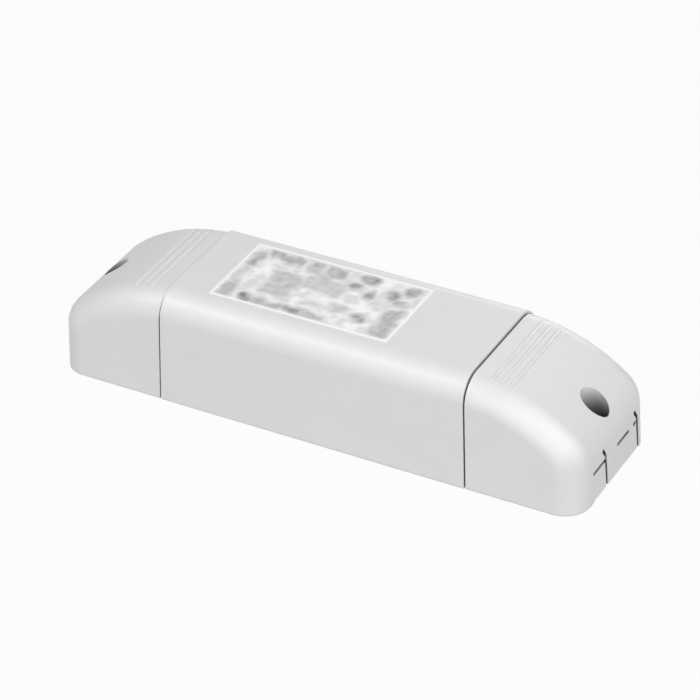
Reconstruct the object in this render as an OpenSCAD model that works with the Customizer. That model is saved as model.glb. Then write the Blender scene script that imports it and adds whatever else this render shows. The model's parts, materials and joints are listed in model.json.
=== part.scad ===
// LED driver for loose mounting: a base tray, a body cover and two screwed end caps
// round a circuit board. X runs along the driver, Z is up and the base lies on Z = 0.
// The mains end is at -X and the output end at +X. All sizes are in millimetres.

/* [Housing] */
// Length over both end caps
total_l = 150; // [140:1:190]
// Width at the bottom of the side walls
base_w = 42.5; // [40:0.5:60]
// Height of the body cover
body_h = 31; // [28:0.5:40]
// Wall of the body cover and the end caps
wall = 2; // [1.6:0.1:2.6]
// Radius of the long rounded edges
edge_r = 7; // [5:0.5:9]
// Inward lean of the side walls, in degrees
draft = 2.5; // [0:0.5:4]
// Inward lean of the end faces and of the seams, in degrees
end_rake = 1.5; // [0:0.5:3]
// Free space between pieces that slot together
fit_gap = 0.2; // [0.1:0.05:0.3]

/* [End caps] */
// Length of an end cap at its foot
cap_l = 31; // [28:1:36]
// Gap of the seam between the body cover and a cap
seam_gap = 0.4; // [0.2:0.1:0.8]
// How far the body cover stands proud of a cap at the top
cap_top_step = 0.7; // [0.3:0.1:1.2]
// How far the body cover stands proud of a cap at the sides
cap_side_step = 0.15; // [0.05:0.05:0.4]
// Radius of the sloping crown of a cap, seen from the side
crown_r = 46; // [42:1:60]
// Slope of the crown where it starts at the seam, in degrees
crown_slope = 2; // [0:0.5:4]
// Radius of the nose between the crown and the end face
nose_r = 10; // [9.5:0.5:12]
// Length of the tongue that a cap slides under the body cover
tongue_l = 3; // [2:0.5:4]
// Thickness of that tongue
tongue_t = 1.2; // [1:0.1:1.6]
// Number of decorative grooves across the crown
groove_count = 3; // [1:1:4]
// Spacing of the grooves
groove_pitch = 2.4; // [2:0.1:3]
// Distance from the seam to the first groove
groove_start = 4.3; // [3:0.1:6]
// Width of a groove
groove_w = 1.2; // [0.8:0.1:1.6]
// Depth of a groove
groove_depth = 0.35; // [0.2:0.05:0.6]

/* [Cable entries] */
// Height of the slit above a tear-out tab
slit_z = 8.4; // [7:0.1:9]
// Width of the open slits
slit_w = 1; // [0.6:0.1:1.2]
// Width of the notch beside a tab
notch_w = 1; // [0.6:0.1:1.2]
// Depth of that notch
notch_depth = 1.2; // [0.6:0.1:1.4]
// Height of the relief along the foot of the tabs
relief_h = 0.3; // [0.2:0.1:1]
// Thickness of a rib that grips the cable
grip_t = 1.6; // [1.2:0.1:2]
// Room for a cable between the base and the grip ribs of a cap
cable_room = 5.2; // [4:0.1:6]

/* [Fastening] */
// Diameter of the screw well in a cap
well_d = 7.2; // [6.8:0.1:8]
// Distance of the screw well from the end face
well_inset = 5.8; // [5.4:0.1:6.4]
// Wall round the screw well
well_wall = 1.5; // [1:0.1:2]
// Thickness of the seat under the screw head
seat_t = 2; // [1.5:0.1:3]
// Diameter of the cap screw
screw_d = 3; // [2.5:0.1:3.2]
// Diameter of the cap screw's head
screw_head_d = 6.2; // [5.4:0.1:6.4]
// Height of the cap screw's head
screw_head_h = 2.3; // [1.8:0.1:3]
// Height of the screw boss on the base
boss_h = 9; // [8:0.5:11]
// Diameter of the screw boss on the base
boss_d = 6.2; // [5.6:0.1:6.6]
// Diameter of the fixing holes in the base
fixing_d = 4.2; // [3.5:0.1:4.6]
// Distance of a fixing hole from the end face
fixing_inset = 14.5; // [14:0.1:16]
// Diameter kept free for the head of a fixing screw
fixing_head_d = 8; // [7:0.1:8.6]

/* [Base] */
// Thickness of the base floor
floor_t = 2; // [1.6:0.1:2.6]
// Thickness of the base side walls
base_wall = 1.6; // [1.2:0.1:2]
// Height of the base side walls
base_wall_h = 9; // [8.6:0.1:12]
// Distance of the snap windows from the middle
snap_x = 24; // [14:1:28]
// Length of a snap window
snap_l = 9; // [6:0.5:12]
// How far a snap ridge reaches into its window
snap_bite = 0.7; // [0.4:0.1:1]

/* [Label] */
// Length of the label
label_l = 51; // [30:1:60]
// Distance of the label's middle from the middle of the body
label_x = -7; // [-12:1:12]
// Margin between the label and the rounded edges
label_margin = 0.15; // [0.1:0.05:2]
// Thickness of the label
label_t = 0.15; // [0.1:0.05:0.3]

/* [Circuit board] */
// Thickness of the board
board_t = 1.6; // [1.2:0.1:2]
// Height of the posts under the board
post_h = 3; // [2.5:0.1:4]
// Diameter of the posts under the board
post_d = 5; // [4:0.1:6]
// Diameter of the locating pins on the posts
post_pin_d = 2; // [1.6:0.1:2.4]
// Diameter of a component pin
pin_d = 0.8; // [0.6:0.1:1]
// How far a component pin stands out under the board
pin_out = 1.2; // [0.8:0.1:1.6]
// Distance of the rows of components from the board's long edges
row_margin = 1.8; // [1.2:0.1:3]

/* [Terminals] */
// Spacing of the poles
pole_pitch = 5; // [4.6:0.1:6]
// Number of mains poles
mains_poles = 2; // [2:1:3]
// Number of output poles
output_poles = 4; // [2:1:4]
// Depth of a terminal block
terminal_l = 8.4; // [7.6:0.1:9]
// Height of a terminal block
terminal_h = 10; // [9:0.1:11]

/* [Components] */
// Diameter of the fuse
fuse_d = 8.4; // [7:0.1:9]
// Height of the fuse
fuse_h = 7.6; // [6:0.1:9]
// Diameter of the varistor
varistor_d = 9; // [7:0.1:10]
// Thickness of the varistor
varistor_t = 4; // [3:0.1:5]
// Thickness, width and height of the X capacitor
x_cap = [6, 13, 11.5]; // [4:0.1:14]
// Outer radius of the choke core
choke_r = 6; // [5:0.1:6.5]
// Radial width of the choke core
choke_w = 2.6; // [2:0.1:3]
// Height of the choke core
choke_h = 6; // [5:0.1:7]
// Thickness of the wire layer on the choke core
choke_wire = 1; // [0.8:0.1:1.2]
// Length, width and height of the bridge rectifier
bridge = [8.4, 6.4, 3.4]; // [3:0.1:9]
// Diameter of the bulk capacitor
bulk_d = 10; // [8:0.1:11]
// Height of the bulk capacitor
bulk_h = 16; // [12:0.5:18]
// Length of the transformer along the board
transformer_l = 17; // [15:0.1:18]
// Width of the transformer core
transformer_core_w = 8; // [6:0.1:9]
// Height of the transformer
transformer_h = 14; // [12:0.5:16]
// Width of the transformer bobbin with its pin rows
bobbin_w = 17; // [16:0.1:18]
// Length of the heatsink plate
heatsink_l = 17; // [14:0.1:18]
// Height of the heatsink plate
heatsink_h = 17.5; // [17:0.5:19]
// Thickness of the heatsink plate
heatsink_t = 1.5; // [1:0.1:2]
// Diameter of the Y capacitor
y_cap_d = 7; // [6:0.1:8]
// Thickness of the Y capacitor
y_cap_t = 3; // [2.5:0.1:4]
// Diameter of the output capacitors
out_cap_d = 7; // [6:0.1:8]
// Height of the output capacitors
out_cap_h = 12; // [10:0.5:16]
// Diameter of the output diode
diode_d = 5; // [4:0.1:5.5]

/* [Hidden] */
$fn = 48;
half_l = total_l / 2;
seam_x = half_l - cap_l;
// Larger than the whole driver, for cuts
big = 2 * total_l;
// Overlap of forms that belong to one moulding
sink = 0.3;
// How far a cut runs past the surface that it opens
over = 1;

// Side view of a cap: the crown arc runs into the nose arc, which ends at the leaning end face
cap_h = body_h - cap_top_step;
crown_x = seam_x - tan(end_rake) * cap_h - crown_r * sin(crown_slope);
crown_z = cap_h - crown_r * cos(crown_slope);
end_reach = (half_l - crown_x) * cos(end_rake) - crown_z * sin(end_rake);
crown_end = asin((end_reach - nose_r) / (crown_r - nose_r)) - end_rake;
nose_x = crown_x + (crown_r - nose_r) * sin(crown_end);
nose_z = crown_z + (crown_r - nose_r) * cos(crown_end);
// How far the cap's forms run past the seam and below the foot before they are cut
cap_lead = 7;
// Steps along the crown, round the nose and across the round edge
crown_steps = 12;
nose_steps = 8;
edge_steps = 7;
// Thickness of a cap's crown, which keeps the corners of its hollow clear of the round edges
crown_t = 1.6 * wall;

// Heights and fits
board_z = floor_t + post_h;
board_top = board_z + board_t;
base_inset = wall + cap_side_step + fit_gap;
tongue_z = base_wall_h + 2 * fit_gap;
partition_t = 1.6;
partition_x = seam_x - tongue_l - 4 * fit_gap;
well_x = half_l - well_inset;
fixing_x = half_l - fixing_inset;
fixing_ring_h = 1.5;
fixing_ring_wall = 2;
seat_z = boss_h + seat_t;
shank_hole_d = screw_d + 2 * fit_gap;
pilot_wall_gap = 0.05;
pilot_spare = 0.5;
screw_l = 8;
grip_z = floor_t + cable_room;
grip_x = fixing_x + fixing_head_d / 2 - grip_t;

// The board reaches from fixing screw to fixing screw, between the base side walls
board_end = fixing_x - fixing_head_d / 2 - 2 * fit_gap;
board_hw = side_y(board_top, base_inset + base_wall) - 2 * fit_gap;
board_margin = 1;
post_x = seam_x + board_margin;
post_y = board_hw - post_d / 2 - board_margin;
post_pin_out = 0.8;
pin_hole_d = pin_d + fit_gap;
terminal_x = board_end - terminal_l / 2 - board_margin;

// Components stand in a front row and a back row, spread evenly between the partitions
room_l = 2 * (partition_x - partition_t);
opto = [4.6, 6.4, 3.6];
chip = [5, 4, 1.5];
front_row = [fuse_d, x_cap[0], bridge[0], bulk_d, transformer_l, diode_d];
back_row = [varistor_t, 2 * (choke_r + choke_wire), heatsink_l, y_cap_t, opto[0], out_cap_d];

// The slit from and to, the round hole and the notch of each tear-out tab, across the end face
tab_places = [[-11.8, -5.6, -5.6, -4.5], [2.1, 8.2, 11.8, 13.8]];
notch_foot_z = relief_h / 2;
notch_top_z = 9.6;
notch_lean = 0.6;
hook = [-1.4, 2.2];

// Half-width of the leaning side wall at a height, moved in by an inset
function side_y(z, inset = 0) = base_w / 2 - z * tan(draft) - inset / cos(draft);

// Sum of the first entries of a list
function sum_first(list, count) = count <= 0 ? 0 : list[count - 1] + sum_first(list, count - 1);

// Place along the board of one entry of a row, with equal gaps between the entries
function row_x(row, i) =
    let (gap = (room_l - sum_first(row, len(row))) / (len(row) + 1))
    -room_l / 2 + gap * (i + 1) + sum_first(row, i) + row[i] / 2;

// Middle of a component of a given width that stands in the front or the back row
function front_y(width) = -board_hw + row_margin + width / 2;
function back_y(width) = board_hw - row_margin - width / 2;

// Two pins on a line along X or along Y
function pins_x(p, pitch) = [for (side = [-1, 1]) p + [side * pitch / 2, 0]];
function pins_y(p, pitch) = [for (side = [-1, 1]) p + [0, side * pitch / 2]];

// A rectangle of four pins
function pins_box(p, size) = [for (q = pins_x(p, size[0])) each pins_y(q, size[1])];

// Middles of the components
fuse_p = [row_x(front_row, 0), front_y(fuse_d)];
x_cap_p = [row_x(front_row, 1), front_y(x_cap[1])];
bridge_p = [row_x(front_row, 2), front_y(bridge[1])];
bulk_p = [row_x(front_row, 3), front_y(bulk_d)];
transformer_p = [row_x(front_row, 4), front_y(bobbin_w)];
varistor_p = [row_x(back_row, 0), back_y(varistor_d)];
choke_p = [row_x(back_row, 1), back_y(2 * (choke_r + choke_wire))];
heatsink_p = [row_x(back_row, 2), back_y(heatsink_t)];
y_cap_p = [row_x(back_row, 3), back_y(y_cap_d)];
opto_p = [row_x(back_row, 4), back_y(opto[1])];
out_cap_gap = 1;
out_cap_p = [for (i = [0, 1])
    [row_x(back_row, 5), back_y(out_cap_d) - i * (out_cap_d + out_cap_gap)]];
diode_l = 7;
diode_bend = 1;
diode_p = [row_x(front_row, 5),
    out_cap_p[1][1] - (out_cap_d + diode_l + diode_d) / 2 - out_cap_gap];
chip_p = [0, 0];

// The power transistor lies against the heatsink plate
transistor = [10, 4.4, 9];
transistor_tab = [10, 1.3, 6];
transistor_lead_h = 2;
transistor_p = heatsink_p - [0, (heatsink_t + transistor[1]) / 2];
transistor_screw_z = board_top + transistor_lead_h + transistor[2] + transistor_tab[2] / 2;
transistor_screw_d = 3;
transistor_screw_head = [5.4, 2];

// Spacing of the pins of each component, and how far they stand in from its ends
lead_pitch = 2.54;
fuse_pitch = 5;
x_cap_pitch = 10;
bridge_pitch = 5;
bulk_pitch = 5;
disc_pitch = 5;
opto_row = 5.4;
out_cap_pitch = 3.5;
transformer_pitch = 3.8;
bobbin_pin_inset = 1.2;
heatsink_pin_inset = 1.5;
diode_pitch = diode_l + diode_d - diode_bend;

// Pins of each component
fuse_pins = pins_x(fuse_p, fuse_pitch);
x_cap_pins = pins_y(x_cap_p, x_cap_pitch);
bridge_pins = pins_box(bridge_p, [bridge_pitch, bridge_pitch]);
bulk_pins = pins_x(bulk_p, bulk_pitch);
transformer_pins = [for (i = [-1.5 : 1.5]) each
    pins_y(transformer_p + [i * transformer_pitch, 0], bobbin_w - 2 * bobbin_pin_inset)];
diode_pins = pins_y(diode_p, diode_pitch);
varistor_pins = pins_y(varistor_p, disc_pitch);
choke_pins = pins_box(choke_p, [choke_r, 1.5 * choke_r]);
heatsink_pins = pins_x(heatsink_p, heatsink_l - 2 * heatsink_pin_inset);
transistor_pins = [for (i = [-1 : 1]) transistor_p + [i * lead_pitch, 0]];
y_cap_pins = pins_y(y_cap_p, disc_pitch);
opto_pins = pins_box(opto_p, [lead_pitch, opto_row]);
out_cap_pins = [for (p = out_cap_p) each pins_x(p, out_cap_pitch)];
mains_pins = pole_places(-terminal_x, mains_poles);
output_pins = pole_places(terminal_x, output_poles);
all_pins = concat(fuse_pins, x_cap_pins, bridge_pins, bulk_pins, transformer_pins, diode_pins,
    varistor_pins, choke_pins, heatsink_pins, transistor_pins, y_cap_pins, opto_pins, out_cap_pins,
    mains_pins, output_pins);

// Places of the poles of a terminal block
function pole_places(x, count) = [for (i = [0 : count - 1]) [x, (i - (count - 1) / 2) * pole_pitch]];

// Sizes of the transformer: the spool of the bobbin sits on the core's middle limb
core_limb = 2;
limb_h = 3;
bobbin_wall = 0.8;
core_lift = 2.4;
core_h = transformer_h - core_lift;
window_h = (core_h - limb_h) / 2 - core_limb;
window_l = transformer_l - 2 * core_limb;
limb_z = board_top + core_lift + core_h / 2;
spool_l = window_l - 2 * fit_gap;
spool_w = transformer_core_w + 2 * (fit_gap + bobbin_wall);
spool_h = limb_h + 2 * (fit_gap + bobbin_wall);
wire_t = window_h - bobbin_wall - 2 * fit_gap;

// Sizes inside a terminal block
cage_w = 3.4;
cage_l = 5;
cage_h = 4.6;
cage_z = 1.4;
cage_wall = 0.6;
cage_gap = 0.1;
clamp_screw_d = 2.4;
clamp_screw_h = 5.4;
clamp_shaft_d = 3;

// Cross section of the housing, with round upper edges, cut off at a lower height
module housing_section(inset, low) {
    r = edge_r - inset;
    arc_z = body_h - edge_r;
    arc_y = side_y(arc_z, edge_r);
    polygon([
        [-side_y(low, inset), low], [side_y(low, inset), low],
        [arc_y + r * cos(draft), arc_z + r * sin(draft)], [arc_y, arc_z + r],
        [-arc_y, arc_z + r], [-arc_y - r * cos(draft), arc_z + r * sin(draft)]
    ]);
    for (side = [-1, 1])
        translate([side * arc_y, arc_z]) circle(r);
}

// A section drawn in Y and Z, carried along X
module along_x(from, to) {
    translate([from, 0, 0])
        rotate([90, 0, 90])
            linear_extrude(to - from) children();
}

// Everything beyond a seam plane, which leans as the end faces do, or everything before it
module beyond_seam(x, start = 0) {
    translate([x, 0, 0])
        rotate([0, -end_rake, 0])
            translate([start, -big / 2, -big / 2]) cube(big);
}

module before_seam(x) {
    beyond_seam(x, -big);
}

// Everything above a height, or below it
module above(z) {
    translate([-big / 2, -big / 2, z]) cube(big);
}

module below(z) {
    above(z - big);
}

// A box given by its middle in plan and by its lower height
module block(p, size, z) {
    translate([p[0] - size[0] / 2, p[1] - size[1] / 2, z]) cube(size);
}

// A post given by its middle in plan
module post(p, d, z, h) {
    translate([p[0], p[1], z]) cylinder(d = d, h = h);
}

// Component pins, from under the board up into the component
module pins(places) {
    for (p = places)
        post(p, pin_d, board_z - pin_out, board_t + pin_out + sink);
}

// Points and slopes of a cap's side view, from before the seam over the crown and nose to the foot
function crown_point(a) = [crown_x + crown_r * cos(a), crown_z + crown_r * sin(a), a];
function nose_point(a) = [nose_x + nose_r * cos(a), nose_z + nose_r * sin(a), a];
cap_start = 90 + asin(cap_lead / crown_r);
foot_point = nose_point(end_rake) + (nose_z + cap_lead) * [tan(end_rake), -1, 0];
cap_view = concat(
    [for (i = [0 : crown_steps - 1]) crown_point(cap_start + (90 - crown_end - cap_start) * i / crown_steps)],
    [for (i = [0 : nose_steps]) nose_point(90 - crown_end + (end_rake - 90 + crown_end) * i / nose_steps)],
    [foot_point]
);

// Directions from straight out of the side view to straight out of the leaning side wall
function turned(a, share) =
    let (up = [cos(a), 0, sin(a)], out = [0, cos(draft), sin(draft)], angle = acos(up * out))
    (up * sin(angle * (1 - share)) + out * sin(angle * share)) / sin(angle);

// Points of the round edge at one place of the side view
function edge_ring(p) =
    let (x = p[0] - edge_r * cos(p[2]), z = p[1] - edge_r * sin(p[2]))
    [for (i = [0 : edge_steps])
        [x, side_y(z, edge_r) - cap_side_step, z] + edge_r * turned(p[2], i / edge_steps)];

// A cap's form, past the seam and below the foot
module cap_form() {
    start_x = cap_view[0][0];
    low = cap_view[len(cap_view) - 1][1];
    half = concat(
        [for (p = cap_view) each edge_ring(p)],
        [[start_x, side_y(low) - cap_side_step, low]]
    );
    points = concat(half, [for (p = half) [p[0], -p[1], p[2]]]);
    hull() polyhedron(points, [[for (i = [0 : len(points) - 1]) i]]);
}

// Side view of the hollow of a cap, with a square step under the nose
module hollow_view() {
    intersection() {
        translate([crown_x, crown_z]) circle(crown_r - crown_t);
        translate([half_l - wall, 0]) rotate(end_rake) translate([-big, -big / 2]) square(big);
        union() {
            translate([nose_x, nose_z]) circle(nose_r - crown_t);
            translate([-big, -big / 2]) square([big + nose_x, big]);
            translate([0, nose_z - big]) square(big);
        }
    }
}

// The hollow of a cap, with its corners at the end face cut off
module cap_hollow() {
    difference() {
        intersection() {
            rotate([90, 0, 0]) linear_extrude(base_w, center = true) hollow_view();
            along_x(seam_x - cap_lead, half_l) housing_section(wall + cap_side_step, -cap_lead);
        }
        for (side = [-1, 1])
            translate([half_l - edge_r, side * side_y(0, edge_r), -big / 2])
                rotate([0, 0, side * 45])
                    translate([edge_r - wall, -edge_r, 0]) cube([edge_r, 2 * edge_r, big]);
        cap_inner_walls();
    }
}

// Height of a cap's crown at a place along the driver
function crown_top(x) = crown_z + sqrt(crown_r * crown_r - (x - crown_x) * (x - crown_x));

// A slot across the end face between two points in Y and Z, with round ends
module end_slot(from, to, width, depth) {
    run = to - from;
    translate([half_l - depth, from[0], from[1]])
        rotate([atan2(run[1], run[0]), 0, 0]) {
            translate([0, 0, -width / 2]) cube([2 * depth, norm(run), width]);
            for (y = [0, norm(run)])
                translate([0, y, 0]) rotate([0, 90, 0]) cylinder(d = width, h = 2 * depth);
        }
}

// Outlines of the tear-out cable tabs in the end face of a cap
module tab_cuts() {
    through = wall + over;
    hole_d = 1.3 * slit_w;
    for (t = tab_places) {
        end_slot([t[0], slit_z], [t[1], slit_z], slit_w, through);
        end_slot([t[2] - hole_d / 8, slit_z], [t[2] + hole_d / 8, slit_z], hole_d, through);
        notch_top = [t[3] - notch_lean, notch_top_z];
        end_slot([t[3], notch_foot_z], notch_top, notch_w, notch_depth);
        end_slot(notch_top, notch_top + hook, notch_w, notch_depth);
    }
    relief_from = tab_places[0][0];
    relief_to = tab_places[1][3];
    translate([half_l - notch_depth, relief_from, -over])
        cube([2 * notch_depth, relief_to - relief_from, relief_h + over]);
}

// Decorative grooves across the crown
module crown_grooves() {
    r = (groove_w * groove_w / 4 + groove_depth * groove_depth) / (2 * groove_depth);
    for (i = [0 : groove_count - 1]) {
        x = seam_x + groove_start + i * groove_pitch;
        translate([x, 0, crown_top(x) - groove_depth + r])
            rotate([90, 0, 0]) cylinder(r = r, h = base_w, center = true);
    }
}

// What stays standing inside a cap: the screw well and the ribs that grip the cables
module cap_inner_walls() {
    post([well_x, 0], well_d + 2 * well_wall, boss_h, body_h);
    driver_room = 1;
    grip_from = fixing_head_d / 2 + driver_room;
    for (side = [-1, 1])
        translate([grip_x, side > 0 ? grip_from : -base_w, grip_z])
            cube([grip_t, base_w - grip_from, body_h]);
}

// Tongue of a cap, which slides under the end of the body cover
module cap_tongue() {
    root = 2.5;
    outer = wall + fit_gap;
    inner = outer + tongue_t;
    difference() {
        union() {
            along_x(seam_x - tongue_l, seam_x + root) housing_section(outer, tongue_z);
            along_x(seam_x + seam_gap, seam_x + root) housing_section(wall - 2 * sink, tongue_z);
        }
        along_x(seam_x - tongue_l - over, seam_x + root + over) housing_section(inner, tongue_z - over);
    }
}

// One moulded end cap, at the output end
module end_cap() {
    difference() {
        cap_form();
        cap_hollow();
        before_seam(seam_x + seam_gap / 2);
        below(0);
        post([well_x, 0], well_d, seat_z, body_h);
        post([well_x, 0], shank_hole_d, boss_h - over, body_h);
        tab_cuts();
        crown_grooves();
    }
    cap_tongue();
}

module output_cap() {
    color("whitesmoke") end_cap();
}

module mains_cap() {
    color("whitesmoke") rotate([0, 0, 180]) end_cap();
}

// Plan of the base floor, with corners that follow the caps
module base_plan() {
    r = edge_r - wall;
    half_x = half_l - wall - fit_gap - floor_t * tan(end_rake) - r;
    half_y = side_y(floor_t, base_inset) - r;
    square([2 * half_x, 2 * (half_y + r)], center = true);
    square([2 * (half_x + r), 2 * half_y], center = true);
    for (sx = [-1, 1], sy = [-1, 1])
        translate([sx * half_x, sy * half_y]) circle(r);
}

// Side walls of the base, inside the body cover, with their snap windows
module base_walls() {
    seam_room = 1;
    end = seam_x - seam_room;
    window_z = [board_z - fit_gap, board_top + 4 * fit_gap];
    difference() {
        along_x(-end, end) housing_section(base_inset, floor_t - sink);
        along_x(-end - over, end + over) housing_section(base_inset + base_wall, floor_t - over);
        above(base_wall_h);
        for (x = [-snap_x, snap_x])
            translate([x - snap_l / 2, -base_w / 2, window_z[0]])
                cube([snap_l, base_w, window_z[1] - window_z[0]]);
    }
}

module base() {
    color("whitesmoke") difference() {
        union() {
            linear_extrude(floor_t) base_plan();
            base_walls();
            for (x = [-1, 1]) {
                post([x * well_x, 0], boss_d, floor_t - sink, boss_h - floor_t + sink);
                post([x * fixing_x, 0], fixing_d + 2 * fixing_ring_wall, floor_t - sink,
                    fixing_ring_h + sink);
                for (y = [-1, 1]) {
                    post([x * post_x, y * post_y], post_d, floor_t - sink, post_h + sink);
                    post([x * post_x, y * post_y], post_pin_d, floor_t, post_h + board_t + post_pin_out);
                }
            }
        }
        for (x = [-1, 1]) {
            post([x * fixing_x, 0], fixing_d, -over, big);
            post([x * well_x, 0], screw_d + 2 * pilot_wall_gap, seat_z - screw_l - pilot_spare, big);
        }
    }
}

// Ridges inside the cover that snap into the windows of the base
module snap_ridges() {
    depth = cap_side_step + fit_gap + snap_bite;
    low = board_z;
    high = board_top + 2 * fit_gap;
    flat = 0.5;
    for (side = [0, 1], x = [-snap_x, snap_x])
        mirror([0, side, 0])
            along_x(x - snap_l / 2 + fit_gap, x + snap_l / 2 - fit_gap)
                polygon([
                    [side_y(low, wall - sink), low], [side_y(high, wall - sink), high],
                    [side_y(high, wall + depth), high], [side_y(high, wall + depth), high - flat],
                    [side_y(low, wall), low]
                ]);
}

// Walls that part the board's live middle from the terminals under the caps
module partitions() {
    upper_z = tongue_z;
    lower_hw = side_y(board_top, base_inset + base_wall) - 2 * fit_gap;
    for (x = [-partition_x, partition_x - partition_t]) {
        along_x(x, x + partition_t) housing_section(wall - sink, upper_z);
        translate([x, -lower_hw, board_top + 2 * fit_gap])
            cube([partition_t, 2 * lower_hw, upper_z - board_top]);
    }
}

module body_cover() {
    color("white") difference() {
        union() {
            difference() {
                along_x(-half_l, half_l) housing_section(0, 0);
                along_x(-half_l - over, half_l + over) housing_section(wall, -over);
            }
            partitions();
            snap_ridges();
        }
        for (turn = [0, 180])
            rotate([0, 0, turn]) beyond_seam(seam_x - seam_gap / 2);
    }
}

// A pan head screw with a cross slot, its head seated at a height
module pan_screw(p, z, d, head_d, head_h, length) {
    slot = head_d / 7;
    difference() {
        union() {
            post(p, d, z - length, length + sink);
            translate([p[0], p[1], z])
                rotate_extrude()
                    intersection() {
                        translate([0, head_h - head_d]) circle(head_d);
                        square([head_d / 2, head_h]);
                    }
        }
        for (turn = [0, 90])
            translate([p[0], p[1], z + head_h / 2])
                rotate([0, 0, turn])
                    translate([-head_d / 4, -slot / 2, 0]) cube([head_d / 2, slot, head_h]);
    }
}

module cap_screws() {
    color("silver")
        for (x = [-well_x, well_x])
            pan_screw([x, 0], seat_z, screw_d, screw_head_d, screw_head_h, screw_l);
}

module label() {
    label_w = 2 * (side_y(body_h - edge_r, edge_r) - label_margin);
    color("gainsboro") block([label_x, 0], [label_l, label_w, label_t], body_h);
}

module circuit_board() {
    color("darkgreen") difference() {
        block([0, 0], [2 * board_end, 2 * board_hw, board_t], board_z);
        for (x = [-1, 1], y = [-1, 1])
            post([x * post_x, y * post_y], post_pin_d + fit_gap, board_z - over, board_t + 2 * over);
        for (p = all_pins)
            post(p, pin_hole_d, board_z - over, board_t + 2 * over);
    }
}

// Housing of a terminal block whose wire entries face +X
module terminal_block(count) {
    back = 1.4;
    end = 0.5;
    width = count * pole_pitch + 2 * end;
    difference() {
        block([0, 0], [terminal_l, width, terminal_h], board_top);
        for (p = pole_places(0, count)) {
            block(p + [back, 0], [terminal_l, cage_w + 2 * cage_gap, cage_h + cage_gap],
                board_top + cage_z);
            post(p, clamp_shaft_d, board_top + cage_z + over, terminal_h);
            post(p, pin_hole_d, board_top - over, cage_z + 2 * over);
        }
    }
}

module output_terminal() {
    color("dimgray") translate([terminal_x, 0, 0]) terminal_block(output_poles);
}

module mains_terminal() {
    color("dimgray") translate([-terminal_x, 0, 0]) rotate([0, 0, 180]) terminal_block(mains_poles);
}

// Brass cage of one pole, with its solder pin
module terminal_cage(p) {
    inside = [2 * cage_l, cage_w - 2 * cage_wall, cage_h - 2 * cage_wall];
    z = board_top + cage_z;
    difference() {
        union() {
            block(p, [cage_l, cage_w, cage_h], z);
            post(p, pin_d, board_z - pin_out, board_t + pin_out + cage_z + sink);
        }
        block(p, inside, z + cage_wall);
        post(p, clamp_screw_d + 2 * cage_gap, z + cage_h / 2, cage_h);
    }
}

module terminal_cages() {
    color("goldenrod") for (p = concat(mains_pins, output_pins)) terminal_cage(p);
}

module terminal_screws() {
    reach = 1;
    head_h = 2;
    slot = [clamp_shaft_d, 0.6, 1];
    z = board_top + cage_z + cage_h - cage_wall - reach;
    color("silver")
        for (p = concat(mains_pins, output_pins))
            difference() {
                union() {
                    post(p, clamp_screw_d, z, clamp_screw_h);
                    post(p, clamp_shaft_d - 2 * cage_gap, z + reach + cage_wall, head_h);
                }
                block(p, slot, z + clamp_screw_h - slot[2]);
            }
}

module fuse() {
    r = fuse_d / 2;
    foot_r = r - 0.4;
    foot_h = 1;
    bevel = 0.6;
    color("saddlebrown") {
        translate([fuse_p[0], fuse_p[1], board_top])
            rotate_extrude()
                polygon([[0, 0], [foot_r, 0], [foot_r, foot_h], [r, foot_h],
                    [r, fuse_h - bevel], [r - bevel, fuse_h], [0, fuse_h]]);
        pins(fuse_pins);
    }
}

// A dipped disc that stands on its two wires
module disc_part(p, places, d, t) {
    wire_h = 2.5;
    rim = t / 3;
    translate([p[0], p[1], board_top + wire_h + d / 2])
        rotate([0, 90, 0])
            rotate_extrude() {
                translate([0, -t / 2]) square([d / 2 - rim, t]);
                translate([0, rim - t / 2]) square([d / 2, t - 2 * rim]);
            }
    for (q = places)
        post(q, pin_d, board_z - pin_out, board_t + pin_out + wire_h + d / 4);
}

module varistor() {
    color("royalblue") disc_part(varistor_p, varistor_pins, varistor_d, varistor_t);
}

module y_capacitor() {
    color("orange") disc_part(y_cap_p, y_cap_pins, y_cap_d, y_cap_t);
}

module x_capacitor() {
    foot_h = 0.6;
    foot_l = 2;
    color("gold") {
        difference() {
            block(x_cap_p, x_cap, board_top);
            block(x_cap_p, [2 * x_cap[0], x_cap[1] - 2 * foot_l, 2 * foot_h], board_top - foot_h);
        }
        pins(x_cap_pins);
    }
}

// A ring of rectangular section round a vertical axis
module ring(p, z, inner, outer, h, from = 0, turn = 360) {
    translate([p[0], p[1], z])
        rotate_extrude(angle = turn, start = from)
            translate([inner, 0]) square([outer - inner, h]);
}

module choke_core() {
    color("darkslategray")
        ring(choke_p, board_top + choke_wire + fit_gap, choke_r - choke_w, choke_r, choke_h);
}

module choke_windings() {
    turn = 140;
    spare = 1;
    inner = choke_r - choke_w;
    color("peru") {
        for (from = [90 - turn / 2, 270 - turn / 2])
            difference() {
                ring(choke_p, board_top, inner - choke_wire, choke_r + choke_wire,
                    choke_h + 2 * (choke_wire + fit_gap), from, turn);
                ring(choke_p, board_top + choke_wire, inner - fit_gap, choke_r + fit_gap,
                    choke_h + 2 * fit_gap, from - spare, turn + 2 * spare);
            }
        pins(choke_pins);
    }
}

module bridge_rectifier() {
    color("black") {
        block(bridge_p, bridge, board_top);
        pins(bridge_pins);
    }
}

// A radial capacitor can with its crimp
module can_part(p, d, h) {
    crimp_z = 2;
    crimp = d / 14;
    bevel = 0.8;
    translate([p[0], p[1], board_top])
        rotate_extrude()
            difference() {
                polygon([[0, 0], [d / 2, 0], [d / 2, h - bevel], [d / 2 - bevel, h], [0, h]]);
                translate([d / 2, crimp_z]) circle(crimp);
            }
}

module bulk_capacitor() {
    color("midnightblue") {
        can_part(bulk_p, bulk_d, bulk_h);
        pins(bulk_pins);
    }
}

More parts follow.
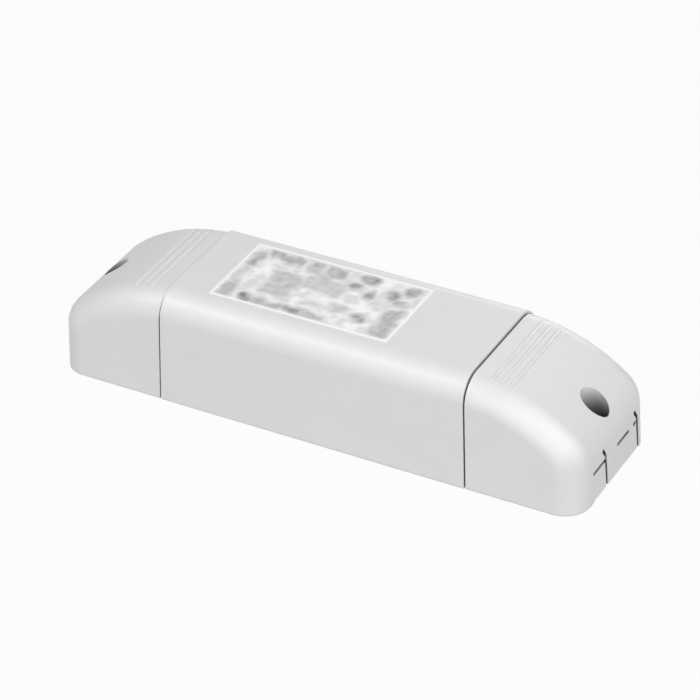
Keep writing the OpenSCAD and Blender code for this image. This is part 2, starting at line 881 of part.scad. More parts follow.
module output_capacitors() {
    color("midnightblue") {
        for (p = out_cap_p) can_part(p, out_cap_d, out_cap_h);
        pins(out_cap_pins);
    }
}

module heatsink_plate() {
    hole = [transistor_p[0], 0, transistor_screw_z];
    color("silver") difference() {
        union() {
            block(heatsink_p, [heatsink_l, heatsink_t, heatsink_h], board_top);
            pins(heatsink_pins);
        }
        translate([hole[0], 0, hole[2]])
            rotate([-90, 0, 0]) cylinder(d = transistor_screw_d + fit_gap, h = base_w);
    }
}

module power_transistor() {
    z = board_top + transistor_lead_h;
    back = transistor_p[1] + transistor[1] / 2;
    color("black") {
        block(transistor_p, transistor, z);
        difference() {
            translate([transistor_p[0] - transistor_tab[0] / 2, back - transistor_tab[1],
                z + transistor[2] - sink])
                cube([transistor_tab[0], transistor_tab[1], transistor_tab[2] + sink]);
            translate([transistor_p[0], 0, transistor_screw_z])
                rotate([-90, 0, 0]) cylinder(d = transistor_screw_d + fit_gap, h = base_w);
        }
        for (p = transistor_pins)
            post(p, pin_d, board_z - pin_out, board_t + pin_out + transistor_lead_h + sink);
    }
}

module transistor_screw() {
    face_y = transistor_p[1] + transistor[1] / 2 - transistor_tab[1];
    color("silver")
        translate([transistor_p[0], face_y, transistor_screw_z])
            rotate([90, 0, 0])
                pan_screw([0, 0], 0, transistor_screw_d, transistor_screw_head[0],
                    transistor_screw_head[1], transistor_tab[1] + heatsink_t);
}

// A box round the middle of the transformer's middle limb
module limb_box(l, w, h) {
    translate([transformer_p[0] - l / 2, transformer_p[1] - w / 2, limb_z - h / 2])
        cube([l, w, h]);
}

// Core of two E halves: the outer limbs lie above and below the middle limb
module transformer_core() {
    color("darkslategray") difference() {
        limb_box(transformer_l, transformer_core_w, core_h);
        difference() {
            limb_box(window_l, big, limb_h + 2 * window_h);
            limb_box(transformer_l, big, limb_h);
        }
    }
}

// Spool round the middle limb, with two flanges and two rails for the pins
module transformer_bobbin() {
    flange_h = limb_h + 2 * (window_h - fit_gap);
    rail_w = (bobbin_w - spool_w) / 2 - wire_t - fit_gap;
    rail_h = limb_z - flange_h / 2 + bobbin_wall - board_top;
    color("ivory") {
        difference() {
            union() {
                limb_box(spool_l, spool_w, spool_h);
                for (side = [-1, 1]) {
                    translate([side * (spool_l - bobbin_wall) / 2, 0, 0])
                        limb_box(bobbin_wall, bobbin_w, flange_h);
                    block(transformer_p + [0, side * (bobbin_w - rail_w) / 2],
                        [spool_l, rail_w, rail_h], board_top);
                }
            }
            limb_box(transformer_l, transformer_core_w + 2 * fit_gap, limb_h + 2 * fit_gap);
        }
        pins(transformer_pins);
    }
}

module transformer_winding() {
    wind_l = spool_l - 2 * bobbin_wall;
    color("peru") difference() {
        limb_box(wind_l, spool_w + 2 * wire_t, spool_h + 2 * wire_t);
        limb_box(transformer_l, spool_w, spool_h);
    }
}

module optocoupler() {
    color("black") {
        block(opto_p, opto, board_top);
        pins(opto_pins);
    }
}

module controller_chip() {
    color("black") block(chip_p, chip, board_z - chip[2]);
}

module output_diode() {
    body_z = board_top + diode_d / 2;
    color("black") {
        translate([diode_p[0], diode_p[1] - diode_l / 2, body_z])
            rotate([-90, 0, 0]) cylinder(d = diode_d, h = diode_l);
        for (q = diode_pins)
            post(q, pin_d, board_z - pin_out, board_t + pin_out + diode_d / 2 + pin_d / 2);
        translate([diode_p[0], diode_p[1] - diode_pitch / 2, body_z])
            rotate([-90, 0, 0]) cylinder(d = pin_d, h = diode_pitch);
    }
}

base();
body_cover();
mains_cap();
output_cap();
cap_screws();
label();
circuit_board();
mains_terminal();
output_terminal();
terminal_cages();
terminal_screws();
fuse();
varistor();
x_capacitor();
choke_core();
choke_windings();
bridge_rectifier();
bulk_capacitor();
power_transistor();
heatsink_plate();
transistor_screw();
transformer_core();
transformer_bobbin();
transformer_winding();
y_capacitor();
optocoupler();
controller_chip();
output_diode();
output_capacitors();
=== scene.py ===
"""Looks of the LED driver: smooth end caps, moulded white plastic, a printed label and the parts inside."""

import json
import math

import bpy
import numpy as np
from mathutils import Matrix, Vector


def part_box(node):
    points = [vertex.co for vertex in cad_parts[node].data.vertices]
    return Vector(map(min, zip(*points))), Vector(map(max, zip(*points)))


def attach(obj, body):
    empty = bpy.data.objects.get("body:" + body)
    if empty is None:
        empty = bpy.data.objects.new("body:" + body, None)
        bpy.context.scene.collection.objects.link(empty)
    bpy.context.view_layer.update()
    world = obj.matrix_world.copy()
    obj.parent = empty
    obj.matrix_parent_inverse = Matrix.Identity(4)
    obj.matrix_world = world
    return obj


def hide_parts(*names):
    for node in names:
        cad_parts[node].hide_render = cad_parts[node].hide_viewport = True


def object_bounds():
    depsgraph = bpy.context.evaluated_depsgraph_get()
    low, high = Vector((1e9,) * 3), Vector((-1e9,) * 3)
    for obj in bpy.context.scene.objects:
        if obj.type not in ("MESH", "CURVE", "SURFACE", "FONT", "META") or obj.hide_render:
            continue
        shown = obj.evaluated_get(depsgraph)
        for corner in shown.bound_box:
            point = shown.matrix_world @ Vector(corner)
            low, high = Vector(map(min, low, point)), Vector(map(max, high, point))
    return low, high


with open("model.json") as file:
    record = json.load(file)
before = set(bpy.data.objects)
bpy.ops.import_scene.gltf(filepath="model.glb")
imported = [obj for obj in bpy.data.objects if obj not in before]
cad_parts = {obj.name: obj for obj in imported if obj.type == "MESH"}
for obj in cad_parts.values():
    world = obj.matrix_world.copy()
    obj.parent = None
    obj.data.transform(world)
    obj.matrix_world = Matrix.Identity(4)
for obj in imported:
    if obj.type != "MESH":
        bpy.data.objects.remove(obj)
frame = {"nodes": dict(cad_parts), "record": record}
cad_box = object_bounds()
nodes = frame["nodes"]
MM = 0.001

# Half-length, width and height of the housing in millimetres, from the frame
HALF_L = cad_box[1][0] / MM
BASE_W = (cad_box[1][1] - cad_box[0][1]) / MM
BODY_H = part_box("body_cover")[1][2] / MM

# Sizes of an end cap in millimetres, and its angles, as in the part's source
EDGE_R = 7.0
DRAFT = math.radians(2.5)
RAKE = math.radians(1.5)
CAP_L = 31.0
CAP_TOP_STEP = 0.7
CAP_SIDE_STEP = 0.15
CROWN_R = 46.0
CROWN_SLOPE = math.radians(2.0)
NOSE_R = 10.0
WELL_INSET = 5.8
WELL_R = 3.6
GROOVE_COUNT = 3
GROOVE_START = 4.3
GROOVE_PITCH = 2.4
GROOVE_W = 1.2
GROOVE_DEPTH = 0.35

# The side view of a cap: crown arc, nose arc and leaning end face
CAP_H = BODY_H - CAP_TOP_STEP
SEAM_X = HALF_L - CAP_L
CROWN_X = SEAM_X - math.tan(RAKE) * CAP_H - CROWN_R * math.sin(CROWN_SLOPE)
CROWN_Z = CAP_H - CROWN_R * math.cos(CROWN_SLOPE)
END_REACH = (HALF_L - CROWN_X) * math.cos(RAKE) - CROWN_Z * math.sin(RAKE)
CROWN_END = math.asin((END_REACH - NOSE_R) / (CROWN_R - NOSE_R)) - RAKE
NOSE_X = CROWN_X + (CROWN_R - NOSE_R) * math.sin(CROWN_END)
NOSE_Z = CROWN_Z + (CROWN_R - NOSE_R) * math.cos(CROWN_END)

# Places of the cuts in a cap: the axis of the screw well, and the round-bottomed grooves on the crown
WELL_X = HALF_L - WELL_INSET
GROOVE_R = (GROOVE_W**2 / 4 + GROOVE_DEPTH**2) / (2 * GROOVE_DEPTH)
GROOVE_PLACES = [SEAM_X + GROOVE_START + GROOVE_PITCH * i for i in range(GROOVE_COUNT)]

# The rolling ball's path: steps in each stretch, radians behind the seam and millimetres below the foot
PATH_STEPS = 3000
BEHIND_SEAM = 0.2
BELOW_FOOT = 2.0

# A facet is shaded smooth where its corners lie this near to a smooth surface, in millimetres, and it
# faces the same way, as the cosine of the angle between them
OUTSIDE_NEAR = 0.12
CUT_NEAR = 0.05
SAME_WAY = 0.9

# Least length to divide by, for a point on the well's axis
LEAST_LENGTH = 1e-9

# Heights in millimetres between which the painted shade in a screw well fades from black to the
# plastic's white, and the skin round the well's wall that still takes the painted shade
WELL_BLACK_Z = 13.0
WELL_WHITE_Z = 23.0
WELL_SKIN = 0.1

# The label's ground, with its white margin and the margin's soft edge in millimetres
LABEL_WHITE = (0.95, 0.95, 0.955)
LABEL_MARGIN = 0.8
MARGIN_SOFT = 0.6

# The ink: its colour, the strength of its clouds, and its spread, soft edge and drift in millimetres
PRINT_GREY = (0.21, 0.21, 0.22)
PRINT_CLOUD = 0.30
PRINT_SPREAD = 0.4
PRINT_SOFT = 2.4
PRINT_DRIFT = 4.8

# Soft grey fields that stand for the label's print, in millimetres: middle from the label's middle in X
# and Y, half-sizes and strength
PRINT_FIELDS = [
    # Row along the back
    (-15.0, 9.8, 4.8, 1.7, 0.66),
    (-6.5, 9.2, 2.0, 2.4, 0.60),
    (-0.5, 9.6, 3.0, 1.9, 0.60),
    (8.8, 10.3, 2.4, 1.5, 0.78),
    (21.0, 9.6, 2.2, 1.8, 0.72),
    # Column at the left
    (-22.6, 6.5, 1.4, 3.8, 0.66),
    (-22.6, -2.0, 1.0, 4.5, 0.46),
    (-22.4, -9.3, 1.6, 3.4, 0.62),
    # Blocks in the middle
    (-10.8, -1.5, 4.2, 5.4, 0.52),
    (-0.5, 2.7, 6.0, 3.2, 0.46),
    (-3.0, 6.2, 2.6, 1.8, 0.46),
    (0.0, -6.2, 3.4, 1.0, 0.40),
    (7.8, -5.4, 2.2, 1.9, 0.50),
    # Spots towards the right
    (6.8, 6.0, 1.6, 1.6, 0.72),
    (11.8, 3.6, 1.6, 1.6, 0.74),
    (17.6, 6.2, 1.3, 2.2, 0.80),
    (20.8, 3.6, 2.2, 1.3, 0.60),
    (14.2, -6.6, 1.5, 1.4, 0.78),
    # Band at the right and strip along the front
    (21.6, -5.5, 2.4, 6.4, 0.62),
    (22.2, -5.5, 0.8, 6.4, 0.74),
    (-5.5, -11.0, 11.5, 1.5, 0.58),
    (-16.2, -11.1, 1.4, 1.4, 0.98),
    (-2.8, -10.8, 2.6, 1.3, 0.82),
]

# What the lamps and the camera face, and how far off the lamps are, in metres
LOOK_AT = Vector((0, 0, 0.015))
LAMP_DISTANCE = 1.2

# The floor's half-size and how far it lies under the foot, in metres, so that the two never coincide
FLOOR_REACH = 3.0
FLOOR_GAP = 0.0002

# The floor's grey, the share of white that it shows, and the strength of the light from all round
FLOOR_GREY = 0.5
FLOOR_WHITE_SHARE = 0.95
AMBIENT = 0.08


def side_y(z, inset):
    """Half-width of the leaning side wall at a height, moved in by an inset."""
    return BASE_W / 2 - z * math.tan(DRAFT) - inset / math.cos(DRAFT)


def slope_at(x, z):
    """Angle of the side view's outward normal at points beside the side view."""
    crown = np.arctan2(z - CROWN_Z, x - CROWN_X)
    nose = np.arctan2(z - NOSE_Z, x - NOSE_X)
    limit = math.pi / 2 - CROWN_END
    return np.where(crown >= limit, crown, np.clip(nose, RAKE, limit))


def edge_path():
    """Centres of the ball that rolls along the round edge of a cap, with their slopes."""
    crown = np.linspace(math.pi / 2 + BEHIND_SEAM, math.pi / 2 - CROWN_END, PATH_STEPS)
    nose = np.linspace(math.pi / 2 - CROWN_END, RAKE, PATH_STEPS)
    drop = np.linspace(0, NOSE_Z + BELOW_FOOT, PATH_STEPS)
    crown_x = CROWN_X + (CROWN_R - EDGE_R) * np.cos(crown)
    crown_z = CROWN_Z + (CROWN_R - EDGE_R) * np.sin(crown)
    nose_x = NOSE_X + (NOSE_R - EDGE_R) * np.cos(nose)
    nose_z = NOSE_Z + (NOSE_R - EDGE_R) * np.sin(nose)
    end_x = nose_x[-1] + drop * math.tan(RAKE)
    end_z = nose_z[-1] - drop
    x = np.concatenate([crown_x, nose_x, end_x])
    z = np.concatenate([crown_z, nose_z, end_z])
    slopes = np.concatenate([crown, nose, np.full(PATH_STEPS, RAKE)])
    return np.stack([x, side_y(z, EDGE_R) - CAP_SIDE_STEP, z], axis=1), slopes


def cap_normals(points):
    """Distance from a cap's smooth outer form, and that form's normal, at points in millimetres."""
    centres, slopes = edge_path()
    zeros = np.zeros(len(points))
    side = np.where(points[:, 1] < 0, -1.0, 1.0)
    folded = points.copy()
    folded[:, 1] *= side
    nearest = np.array([np.argmin(((centres - point) ** 2).sum(axis=1)) for point in folded])
    arm = folded - centres[nearest]
    slope = slopes[nearest]
    up = np.stack([np.cos(slope), zeros, np.sin(slope)], axis=1)
    out = np.array([0, math.cos(DRAFT), math.sin(DRAFT)])
    along_up = (arm * up).sum(axis=1)
    along_out = arm @ out
    flat_slope = slope_at(folded[:, 0], folded[:, 2])
    flat = np.stack([np.cos(flat_slope), zeros, np.sin(flat_slope)], axis=1)
    length = np.linalg.norm(arm, axis=1)
    ball = arm / length[:, None]
    on_flat = folded[:, 1] <= centres[nearest][:, 1]
    on_side = (along_up <= 0) & ~on_flat
    normal = np.where(on_flat[:, None], flat, np.where(on_side[:, None], out, ball))
    gap = np.where(on_flat, along_up, np.where(on_side, along_out, length)) - EDGE_R
    normal[:, 1] *= side
    return gap, normal


def groove_normals(points):
    """Distance from the nearest crown groove's wall, and the wall's normal."""
    zeros = np.zeros(len(points))
    gaps = []
    normals = []
    for x in GROOVE_PLACES:
        crown_z = CROWN_Z + math.sqrt(CROWN_R**2 - (x - CROWN_X) ** 2)
        z = crown_z - GROOVE_DEPTH + GROOVE_R
        arm = np.stack([x - points[:, 0], zeros, z - points[:, 2]], axis=1)
        length = np.linalg.norm(arm, axis=1)
        gaps.append(np.abs(length - GROOVE_R))
        normals.append(arm / length[:, None])
    best = np.argmin(np.array(gaps), axis=0)
    rows = np.arange(len(points))
    return np.array(gaps)[best, rows], np.array(normals)[best, rows]


def well_normals(points):
    """Distance from the screw well's wall, and the wall's normal."""
    arm = np.stack([WELL_X - points[:, 0], -points[:, 1], np.zeros(len(points))], axis=1)
    length = np.linalg.norm(arm, axis=1)
    return np.abs(length - WELL_R), arm / np.maximum(length, LEAST_LENGTH)[:, None]


def smooth_cap(node, turn):
    """A cap with its solid's own form, shaded with the normals of the smooth surfaces it is made from.

    turn is 1 at the output end and -1 at the mains end, where the cap is turned half round.
    """
    mesh = nodes[node].data.copy()
    cap = bpy.data.objects.new(node + "_moulding", mesh)
    bpy.context.scene.collection.objects.link(cap)
    places = np.zeros(len(mesh.vertices) * 3)
    mesh.vertices.foreach_get("co", places)
    points = places.reshape(-1, 3) / MM
    points[:, :2] *= turn
    surfaces = [
        (*cap_normals(points), OUTSIDE_NEAR),
        (*groove_normals(points), CUT_NEAR),
        (*well_normals(points), CUT_NEAR),
    ]
    normals = np.zeros((len(mesh.loops), 3))
    for face in mesh.polygons:
        facing = np.array(face.normal)
        facing[:2] *= turn
        corners = list(face.vertices)
        chosen = np.tile(facing, (len(corners), 1))
        for gap, smooth, near in surfaces:
            lies_near = (np.abs(gap[corners]) < near).all()
            if lies_near and (smooth[corners] @ facing > SAME_WAY).all():
                chosen = smooth[corners]
                break
        normals[list(face.loop_indices)] = chosen
    normals[:, :2] *= turn
    mesh.polygons.foreach_set("use_smooth", np.ones(len(mesh.polygons), bool))
    mesh.normals_split_custom_set(normals.tolist())
    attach(cap, "root")
    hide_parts(node)
    return cap


class Shade:
    """A material under construction: a Principled shader and short ways to add nodes to it."""

    def __init__(self, name):
        self.material = bpy.data.materials.new(name)
        self.material.use_nodes = True
        self.tree = self.material.node_tree
        self.shader = self.tree.nodes["Principled BSDF"]
        self.coords = self.tree.nodes.new("ShaderNodeTexCoord").outputs["Object"]

    def node(self, kind, **settings):
        """A new node with some of its settings."""
        made = self.tree.nodes.new(kind)
        for key, value in settings.items():
            setattr(made, key, value)
        return made

    def feed(self, value, socket):
        """Give a socket a number or a colour, or link it to another node's output."""
        if isinstance(value, tuple):
            socket.default_value = (*value, 1)
        elif isinstance(value, (int, float)):
            socket.default_value = value
        else:
            self.tree.links.new(value, socket)

    def set(self, name, value):
        """Give one of the shader's own sockets a value."""
        self.feed(value, self.shader.inputs[name])

    def split(self):
        """The object's coordinates in metres, as outputs X, Y and Z."""
        made = self.node("ShaderNodeSeparateXYZ")
        self.feed(self.coords, made.inputs["Vector"])
        return made.outputs

    def math(self, operation, *values, clamp=False):
        """One step of arithmetic on numbers or other nodes' outputs."""
        made = self.node("ShaderNodeMath", operation=operation, use_clamp=clamp)
        for value, socket in zip(values, made.inputs):
            self.feed(value, socket)
        return made.outputs[0]

    def map_range(self, value, **ends):
        """A value taken from one range to another, clamped. Ends that aren't given are 0 and 1."""
        made = self.node("ShaderNodeMapRange")
        for key, end in ends.items():
            made.inputs[key.replace("_", " ").title()].default_value = end
        self.feed(value, made.inputs["Value"])
        return made.outputs["Result"]

    def noise(self, size_mm, detail=2.0, stretch=(1, 1, 1)):
        """A cloudy pattern whose patches are about size_mm wide, from 0 to 1."""
        mapping = self.node("ShaderNodeMapping")
        mapping.inputs["Scale"].default_value = stretch
        self.feed(self.coords, mapping.inputs["Vector"])
        made = self.node("ShaderNodeTexNoise")
        made.inputs["Scale"].default_value = 1 / (size_mm * MM)
        made.inputs["Detail"].default_value = detail
        self.feed(mapping.outputs["Vector"], made.inputs["Vector"])
        return made.outputs["Fac"]

    def ramp(self, value, stops):
        """A colour for each value, from stops of place and colour."""
        made = self.node("ShaderNodeValToRGB")
        points = made.color_ramp.elements
        while len(points) < len(stops):
            points.new(0.5)
        for point, (place, colour) in zip(points, stops):
            point.position = place
            point.color = (*colour, 1)
        self.feed(value, made.inputs["Fac"])
        return made.outputs["Color"]

    def mix(self, share, first, second):
        """The first colour at share 0, and the second at share 1."""
        made = self.node("ShaderNodeMix", data_type="RGBA")
        self.feed(share, made.inputs[0])
        self.feed(first, made.inputs[6])
        self.feed(second, made.inputs[7])
        return made.outputs[2]

    def openness(self, reach_mm, own_form, closed, free):
        """How open the surface is, from 0 where it is closed in to 1 where little lies within reach."""
        made = self.node("ShaderNodeAmbientOcclusion", samples=8, only_local=own_form)
        made.inputs["Distance"].default_value = reach_mm * MM
        return self.map_range(made.outputs["AO"], from_min=closed, from_max=free)

    def roughness(self, pattern, low, high):
        """Roughness that follows a pattern."""
        self.set("Roughness", self.map_range(pattern, to_min=low, to_max=high))

    def bump(self, height, depth_mm, round_mm=0.0):
        """Surface relief, over edges that are shaded with a small radius."""
        made = self.node("ShaderNodeBump")
        made.inputs["Strength"].default_value = 1.0
        made.inputs["Distance"].default_value = depth_mm * MM
        self.feed(height, made.inputs["Height"])
        if round_mm > 0:
            edge = self.node("ShaderNodeBevel", samples=6)
            edge.inputs["Radius"].default_value = round_mm * MM
            self.feed(edge.outputs["Normal"], made.inputs["Normal"])
        self.set("Normal", made.outputs["Normal"])


def tint(colour, share):
    """A colour made lighter or darker."""
    return tuple(min(1.0, c * share) for c in colour)


def plastic(name, colour, rough=0.42, grain_mm=0.35, relief_mm=0.004):
    """Moulded plastic with a fine spark-eroded grain and slight clouding."""
    shade = Shade(name)
    cloud = shade.noise(size_mm=9.0, detail=3.0)
    grain = shade.noise(grain_mm)
    shade.set("Base Color", shade.ramp(cloud, [(0.3, tint(colour, 0.96)), (0.7, tint(colour, 1.04))]))
    shade.roughness(grain, low=rough - 0.06, high=rough + 0.06)
    shade.bump(grain, relief_mm, round_mm=0.15)
    return shade.material


def well_painted_light(shade):
    """Painted shade in a screw well: how light its wall is painted, from 1 at its mouth to 0 deep down, and
    1 elsewhere.
    """
    place = shade.split()
    along = shade.math("SUBTRACT", shade.math("ABSOLUTE", place["X"]), WELL_X * MM)
    along_squared = shade.math("MULTIPLY", along, along)
    across_squared = shade.math("MULTIPLY", place["Y"], place["Y"])
    radius = shade.math("SQRT", shade.math("ADD", along_squared, across_squared))
    outside = shade.math("GREATER_THAN", radius, (WELL_R + WELL_SKIN) * MM)
    fall = shade.map_range(place["Z"], from_min=WELL_BLACK_Z * MM, from_max=WELL_WHITE_Z * MM)
    return shade.math("MAXIMUM", outside, fall)


def housing_plastic():
    """Fine satin white plastic, with painted shade darkening its wells, slits, seams and other closed-in
    places.
    """
    shade = Shade("moulded_white")
    white = (0.72, 0.72, 0.725)
    # Painted shade: black deep in wells and slits, grey in the seams and along the foot
    shadow = (0.012, 0.012, 0.013)
    seam_shade_grey = (0.22, 0.22, 0.225)
    cloud = shade.noise(size_mm=9.0, detail=3.0)
    grain = shade.noise(size_mm=0.35)
    unshaded_white = shade.ramp(cloud, [(0.3, tint(white, 0.99)), (0.7, tint(white, 1.01))])
    # Masks for the painted shade: how closed in the surface is, and how deep it lies in a screw well
    hollows = shade.openness(reach_mm=7.0, own_form=True, closed=0.10, free=0.74)
    wells = shade.math("MULTIPLY", hollows, well_painted_light(shade))
    seams = shade.openness(reach_mm=1.6, own_form=False, closed=0.38, free=0.74)
    in_seam = shade.mix(wells, shadow, seam_shade_grey)
    in_open = shade.mix(wells, shadow, unshaded_white)
    shade.set("Base Color", shade.mix(seams, in_seam, in_open))
    shade.set("Specular IOR Level", 0.6)
    shade.roughness(grain, low=0.36, high=0.44)
    shade.bump(grain, depth_mm=0.003, round_mm=0.12)
    return shade.material


def metal(name, colour, rough=0.3, streak=(1, 1, 12)):
    """Plated or milled metal with fine streaks."""
    shade = Shade(name)
    lines = shade.noise(size_mm=0.5, detail=4.0, stretch=streak)
    shade.set("Base Color", shade.ramp(lines, [(0.3, tint(colour, 0.85)), (0.7, tint(colour, 1.08))]))
    shade.set("Metallic", 1.0)
    shade.roughness(lines, low=rough - 0.08, high=rough + 0.1)
    shade.bump(lines, depth_mm=0.002, round_mm=0.08)
    return shade.material


def winding_material():
    """Enamelled wire in turns side by side, with painted shade between the turns and a painted highlight on
    their crests.
    """
    shade = Shade("enamelled_wire")
    copper = (0.55, 0.2, 0.07)
    turn_mm = 0.5
    # Length of the texture's wave at scale 1, in metres
    wave_length = math.pi / 10
    wave = shade.node("ShaderNodeTexWave", wave_type="BANDS", bands_direction="X", wave_profile="SIN")
    wave.inputs["Scale"].default_value = wave_length / (turn_mm * MM)
    wave.inputs["Distortion"].default_value = 0.4
    wave.inputs["Detail"].default_value = 1.0
    shade.feed(shade.coords, wave.inputs["Vector"])
    turns = wave.outputs["Fac"]
    # Painted shade between the turns and a painted highlight on their crests, round the copper's own colour
    stops = [(0.0, tint(copper, 0.45)), (0.6, copper), (1.0, tint(copper, 1.15))]
    shade.set("Base Color", shade.ramp(turns, stops))
    shade.set("Metallic", 0.8)
    shade.roughness(shade.noise(size_mm=1.0), low=0.30, high=0.45)
    shade.bump(turns, depth_mm=0.06)
    return shade.material


def board_material():
    """Green solder resist with paler tracks."""
    shade = Shade("solder_resist")
    brick = shade.node("ShaderNodeTexBrick", offset=0.37, squash=1.0)
    brick.inputs["Scale"].default_value = 1 / (7.0 * MM)
    brick.inputs["Mortar Size"].default_value = 0.06
    brick.inputs["Mortar Smooth"].default_value = 0.2
    shade.feed((0.02, 0.13, 0.05), brick.inputs["Color1"])
    shade.feed((0.025, 0.16, 0.06), brick.inputs["Color2"])
    shade.feed((0.05, 0.26, 0.11), brick.inputs["Mortar"])
    shade.feed(shade.coords, brick.inputs["Vector"])
    cloud = shade.noise(size_mm=2.0)
    stain = shade.math("MULTIPLY", cloud, 0.25)
    shade.set("Base Color", shade.mix(stain, brick.outputs["Color"], (0.03, 0.2, 0.08)))
    shade.roughness(cloud, low=0.3, high=0.5)
    shade.bump(brick.outputs["Fac"], depth_mm=0.03)
    return shade.material


def label_material():
    """A coated label: a white margin round soft grey printed fields."""
    shade = Shade("label_print")
    low, high = (Vector(c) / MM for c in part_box("label"))
    middle = (low + high) / 2
    half = (high - low) / 2
    place = shade.split()

    def from_middle(axis, centre):
        """Millimetres from the label's middle along an axis."""
        return shade.math("SUBTRACT", shade.math("MULTIPLY", place[axis], 1 / MM), centre)

    def inside(offset, centre, half_size, soft):
        """1 within half_size of a centre, falling softly to 0 outside."""
        away = shade.math("ABSOLUTE", shade.math("SUBTRACT", offset, centre))
        rest = shade.math("SUBTRACT", half_size, away)
        return shade.math("ADD", shade.math("DIVIDE", rest, soft), 0.5, clamp=True)

    along = from_middle("X", middle.x)
    across = from_middle("Y", middle.y)
    drift = shade.math("SUBTRACT", shade.noise(size_mm=4.5, detail=1.0), 0.5)
    wander = shade.math("MULTIPLY", drift, PRINT_DRIFT)
    print_along = shade.math("ADD", along, wander)
    print_across = shade.math("SUBTRACT", across, wander)

    uneven = shade.math("ADD", shade.noise(size_mm=2.6, detail=1.5), 0.5)
    cloud = shade.ramp(shade.noise(size_mm=3.6, detail=1.0), [(0.42, (0, 0, 0)), (0.62, (1, 1, 1))])
    cover = shade.math("MULTIPLY", cloud, PRINT_CLOUD)
    for x, y, half_x, half_y, strength in PRINT_FIELDS:
        in_x = inside(print_along, x, half_x + PRINT_SPREAD, PRINT_SOFT)
        in_y = inside(print_across, y, half_y + PRINT_SPREAD, PRINT_SOFT)
        patch = shade.math("MULTIPLY", shade.math("MULTIPLY", in_x, in_y), strength)
        cover = shade.math("MAXIMUM", cover, patch)
    panel_x = inside(along, 0.0, half.x - LABEL_MARGIN, MARGIN_SOFT)
    panel_y = inside(across, 0.0, half.y - LABEL_MARGIN, MARGIN_SOFT)
    panel = shade.math("MULTIPLY", panel_x, panel_y)
    ink = shade.math("MULTIPLY", shade.math("MULTIPLY", cover, uneven, clamp=True), panel)
    shade.set("Base Color", shade.mix(ink, LABEL_WHITE, PRINT_GREY))
    grain = shade.noise(size_mm=0.3)
    shade.roughness(grain, low=0.35, high=0.5)
    shade.bump(grain, depth_mm=0.002)
    return shade.material


def make_materials():
    """Materials by the record's slot."""
    return {
        "housing": housing_plastic(),
        "label": label_material(),
        "screw": metal("zinc_plated", (0.62, 0.63, 0.64), rough=0.32),
        "board": board_material(),
        "terminal": plastic("terminal_grey", (0.16, 0.165, 0.17)),
        "cage": metal("plated_brass", (0.72, 0.58, 0.3)),
        "fuse": plastic("fuse_brown", (0.11, 0.045, 0.025), rough=0.35),
        "varistor": plastic("dipped_blue", (0.03, 0.09, 0.3), rough=0.22, grain_mm=1.2),
        "film_capacitor": plastic("moulded_yellow", (0.68, 0.5, 0.06), rough=0.38),
        "ferrite": plastic("ferrite_black", (0.022, 0.022, 0.024), rough=0.55, grain_mm=0.2, relief_mm=0.01),
        "winding": winding_material(),
        "black_package": plastic("package_black", (0.02, 0.02, 0.021), rough=0.5),
        "capacitor_can": plastic("can_sleeve", (0.015, 0.02, 0.08), rough=0.25),
        "heatsink": metal("milled_aluminium", (0.8, 0.81, 0.82), rough=0.38, streak=(12, 1, 1)),
        "bobbin": plastic("bobbin_ivory", (0.7, 0.65, 0.52), rough=0.45),
        "disc_capacitor": plastic("dipped_orange", (0.6, 0.2, 0.03), rough=0.3, grain_mm=1.2),
    }


def paint(piece, material):
    """Give a whole piece one material."""
    piece.data.materials.clear()
    piece.data.materials.append(material)


def white_to_camera(tree, surface, white, share):
    """Mix a share of white into a surface, for camera, mirror and glass rays only."""
    path = tree.nodes.new("ShaderNodeLightPath")
    seen = path.outputs["Is Camera Ray"]
    for ray in ("Is Glossy Ray", "Is Transmission Ray"):
        either = tree.nodes.new("ShaderNodeMath")
        either.operation = "MAXIMUM"
        tree.links.new(seen, either.inputs[0])
        tree.links.new(path.outputs[ray], either.inputs[1])
        seen = either.outputs[0]
    part = tree.nodes.new("ShaderNodeMath")
    part.operation = "MULTIPLY"
    part.inputs[1].default_value = share
    tree.links.new(seen, part.inputs[0])
    mix = tree.nodes.new("ShaderNodeMixShader")
    tree.links.new(part.outputs[0], mix.inputs[0])
    tree.links.new(surface.outputs[0], mix.inputs[1])
    tree.links.new(white.outputs[0], mix.inputs[2])
    return mix


def make_floor():
    """A pale floor that shows white and keeps a faint shadow."""
    mesh = bpy.data.meshes.new("floor")
    corners = [(x * FLOOR_REACH, y * FLOOR_REACH, 0) for x, y in ((-1, -1), (1, -1), (1, 1), (-1, 1))]
    mesh.from_pydata(corners, [], [(0, 1, 2, 3)])
    floor = bpy.data.objects.new("floor", mesh)
    bpy.context.scene.collection.objects.link(floor)
    floor.location.z = -FLOOR_GAP
    material = bpy.data.materials.new("pale_floor")
    material.use_nodes = True
    tree = material.node_tree
    tree.nodes.clear()
    output = tree.nodes.new("ShaderNodeOutputMaterial")
    diffuse = tree.nodes.new("ShaderNodeBsdfDiffuse")
    diffuse.inputs["Color"].default_value = (FLOOR_GREY, FLOOR_GREY, FLOOR_GREY, 1)
    glow = tree.nodes.new("ShaderNodeEmission")
    mix = white_to_camera(tree, diffuse, glow, FLOOR_WHITE_SHARE)
    tree.links.new(mix.outputs[0], output.inputs["Surface"])
    mesh.materials.append(material)


def make_world():
    """A world that shows white and gives a little light from all round."""
    world = bpy.data.worlds.new("studio")
    bpy.context.scene.world = world
    world.use_nodes = True
    tree = world.node_tree
    tree.nodes.clear()
    output = tree.nodes.new("ShaderNodeOutputWorld")
    ambient = tree.nodes.new("ShaderNodeBackground")
    ambient.inputs["Color"].default_value = (1, 1, 1, 1)
    ambient.inputs["Strength"].default_value = AMBIENT
    white = tree.nodes.new("ShaderNodeBackground")
    white.inputs["Color"].default_value = (1, 1, 1, 1)
    mix = white_to_camera(tree, ambient, white, 1.0)
    tree.links.new(mix.outputs[0], output.inputs["Surface"])


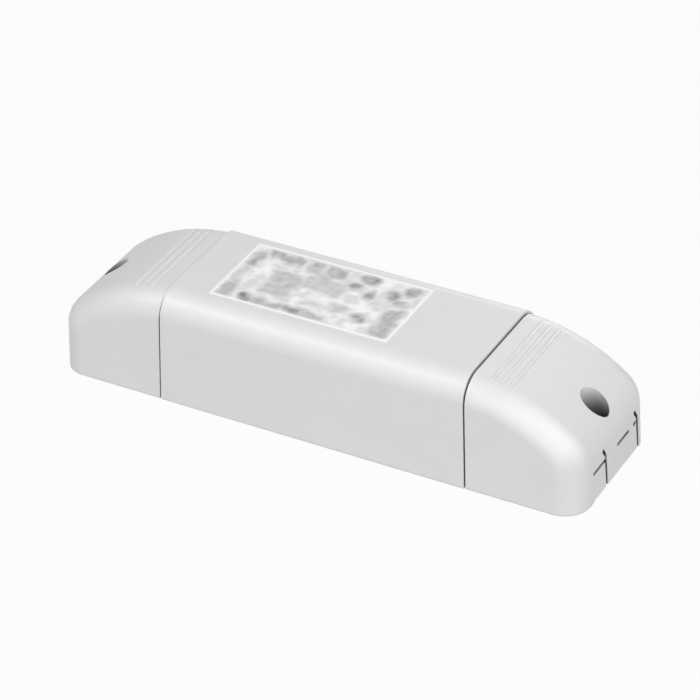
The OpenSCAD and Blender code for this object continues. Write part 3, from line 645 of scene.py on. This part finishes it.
def lamp(name, direction, size, power):
    """A square soft box that faces the object, with its side in metres and its power in watts."""
    data = bpy.data.lights.new(name, "AREA")
    data.shape = "SQUARE"
    data.size = size
    data.energy = power
    lamp_object = bpy.data.objects.new(name, data)
    bpy.context.scene.collection.objects.link(lamp_object)
    away = Vector(direction).normalized()
    lamp_object.location = away * LAMP_DISTANCE + LOOK_AT
    lamp_object.rotation_euler = away.to_track_quat("Z", "Y").to_euler()


def make_lamps():
    """Soft boxes in front, at both sides and behind."""
    lamp("front_right", (0.46, -0.58, 0.67), size=0.8, power=5.3)
    lamp("front_low", (0.08, -0.93, 0.36), size=0.7, power=3.3)
    lamp("left_high", (-0.67, -0.21, 0.71), size=0.8, power=0.9)
    lamp("front_left", (-0.48, -0.52, 0.71), size=0.5, power=3.9)
    lamp("right_high", (0.67, -0.08, 0.74), size=0.8, power=5.2)
    lamp("right_low", (0.96, -0.13, 0.25), size=0.6, power=1.4)
    lamp("back_low", (-0.15, 0.95, 0.28), size=0.6, power=3.2)


def make_camera():
    """The photograph's camera, fitted to the edges of the housing."""
    azimuth = math.radians(29.71)
    elevation = math.radians(34.16)
    roll = math.radians(-1.97)
    focal_px = 3288.0
    distance = 0.8379
    middle_px = (347.7, 351.3)
    image_px = 700.0
    level = Vector((math.cos(azimuth), math.sin(azimuth), 0))
    towards = Vector((math.sin(azimuth), -math.cos(azimuth), 0))
    back = math.cos(elevation) * towards + math.sin(elevation) * Vector((0, 0, 1))
    rise = back.cross(level)
    right = math.cos(roll) * level + math.sin(roll) * rise
    up = math.cos(roll) * rise - math.sin(roll) * level
    data = bpy.data.cameras.new("camera")
    data.sensor_width = 36.0
    data.lens = focal_px * data.sensor_width / image_px
    data.shift_x = (image_px / 2 - middle_px[0]) / image_px
    data.shift_y = (middle_px[1] - image_px / 2) / image_px
    camera = bpy.data.objects.new("camera", data)
    bpy.context.scene.collection.objects.link(camera)
    turn = Matrix((right, up, back)).transposed().to_4x4()
    camera.matrix_world = Matrix.Translation(LOOK_AT + distance * back) @ turn
    bpy.context.scene.camera = camera


materials = make_materials()
slots = {row["node"]: row["material_slot"] for row in frame["record"]["subparts"]}
for node, piece in nodes.items():
    paint(piece, materials[slots[node]])
for node, turn in (("output_cap", 1), ("mains_cap", -1)):
    paint(smooth_cap(node, turn), materials["housing"])
make_floor()
make_world()
make_lamps()
make_camera()
bpy.context.scene.view_settings.view_transform = "Standard"
